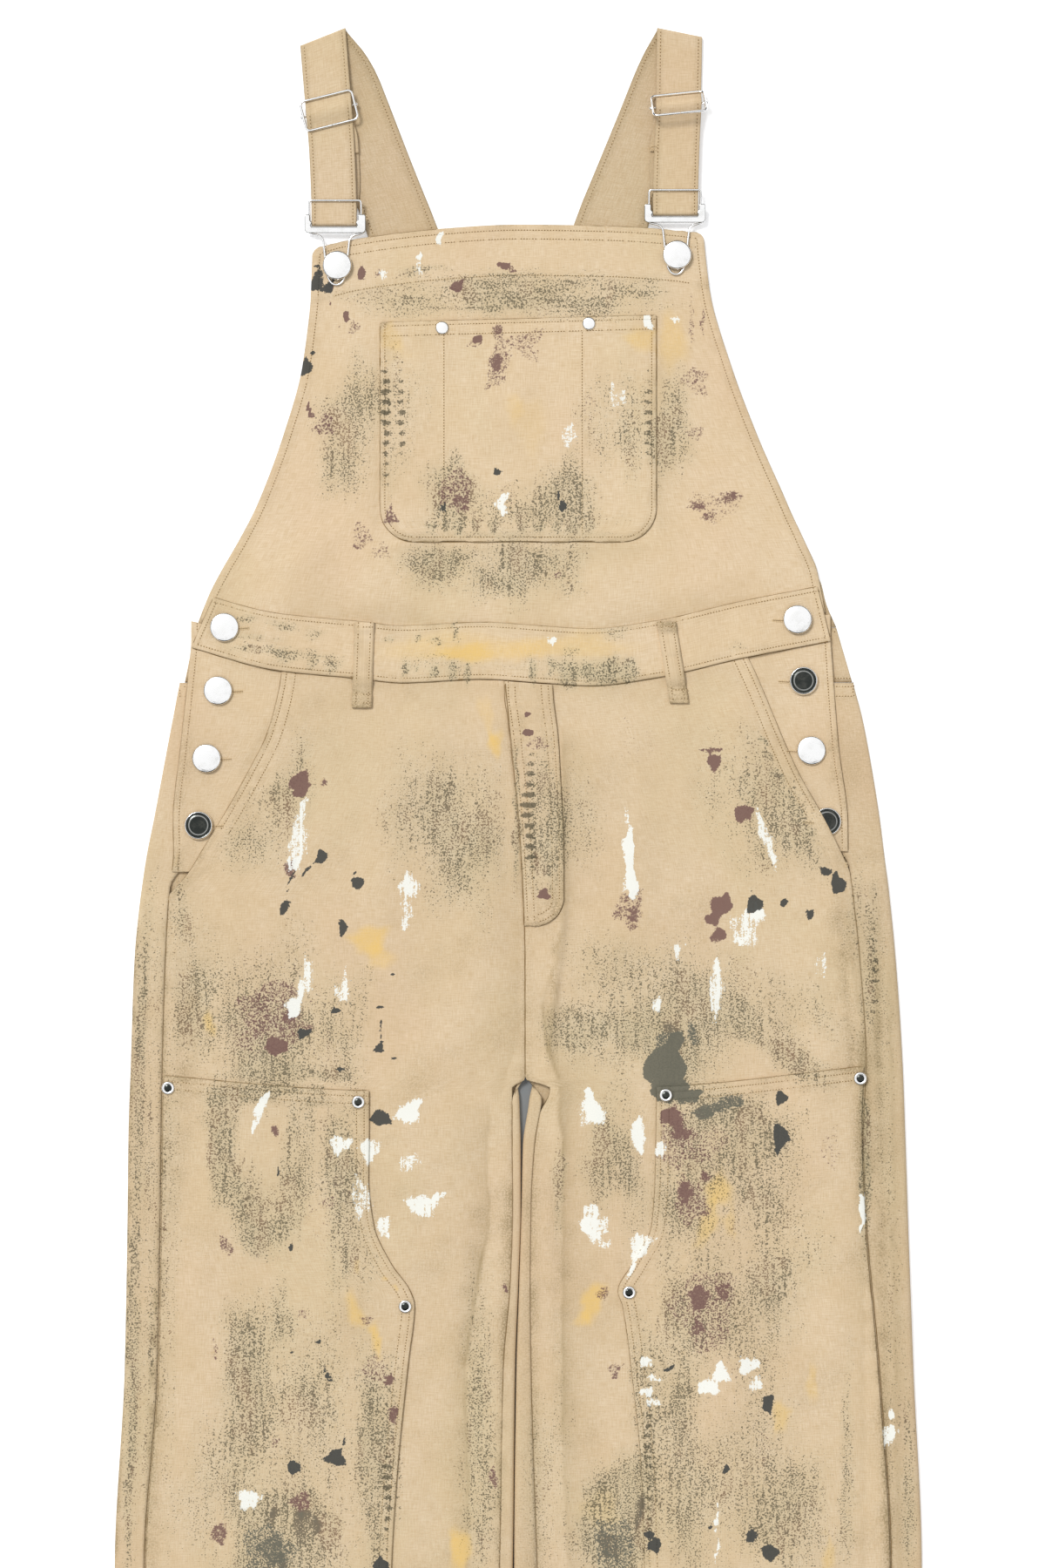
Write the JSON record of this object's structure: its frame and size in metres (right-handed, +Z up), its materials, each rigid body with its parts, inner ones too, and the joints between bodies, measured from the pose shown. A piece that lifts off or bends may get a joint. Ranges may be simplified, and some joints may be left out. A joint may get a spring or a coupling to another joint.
{
  "type": "paint spattered bib overalls, laid flat",
  "caption": "Sand canvas bib overalls with paint spatters and scuffs, straps with wire buckles, side buttons and knee patches, laid flat and face up.",
  "frame": {"origin": "on the surface it lies on, under the middle of the whole outline", "axes": "+Y from the hems to the straps, +Z up out of the garment's front, +X to the right as seen from above (the wearer's left)"},
  "size_m": [0.558, 1.5138, 0.0179],
  "materials": {
    "canvas": "washed sand cotton canvas with dried paint",
    "canvas_back": "the same canvas, a little darker",
    "steel": "bright nickel plate"
  },
  "bodies": {
    "root": {"back_bib": "canvas_back", "back_leg_l": "canvas_back", "back_leg_r": "canvas_back", "belt_loop_l": "canvas", "belt_loop_r": "canvas", "bib_button_l": "steel", "bib_button_r": "steel", "bib_pocket": "canvas", "buckle_frame_l": "steel", "buckle_frame_r": "steel", "buckle_loop_l": "steel", "buckle_loop_r": "steel", "buckle_plate_l": "steel", "buckle_plate_r": "steel", "fly": "canvas", "front_bib": "canvas", "front_leg_l": "canvas", "front_leg_r": "canvas", "knee_patch_l": "canvas", "knee_patch_r": "canvas", "knee_rivet_l1": "steel", "knee_rivet_l2": "steel", "knee_rivet_l3": "steel", "knee_rivet_r1": "steel", "knee_rivet_r2": "steel", "knee_rivet_r3": "steel", "pocket_rivet_l": "steel", "pocket_rivet_r": "steel", "side_button_l1": "steel", "side_button_l2": "steel", "side_button_l3": "steel", "side_button_l4": "steel", "side_button_r1": "steel", "side_button_r2": "steel", "side_button_r3": "steel", "side_button_r4": "steel", "side_facing_l": "canvas", "side_facing_r": "canvas", "slider_bar_l": "steel", "slider_bar_r": "steel", "slider_frame_l": "steel", "slider_frame_r": "steel", "strap_l": "canvas", "strap_r": "canvas", "waistband_back": "canvas_back", "waistband_front": "canvas"}
  },
  "joints": []
}
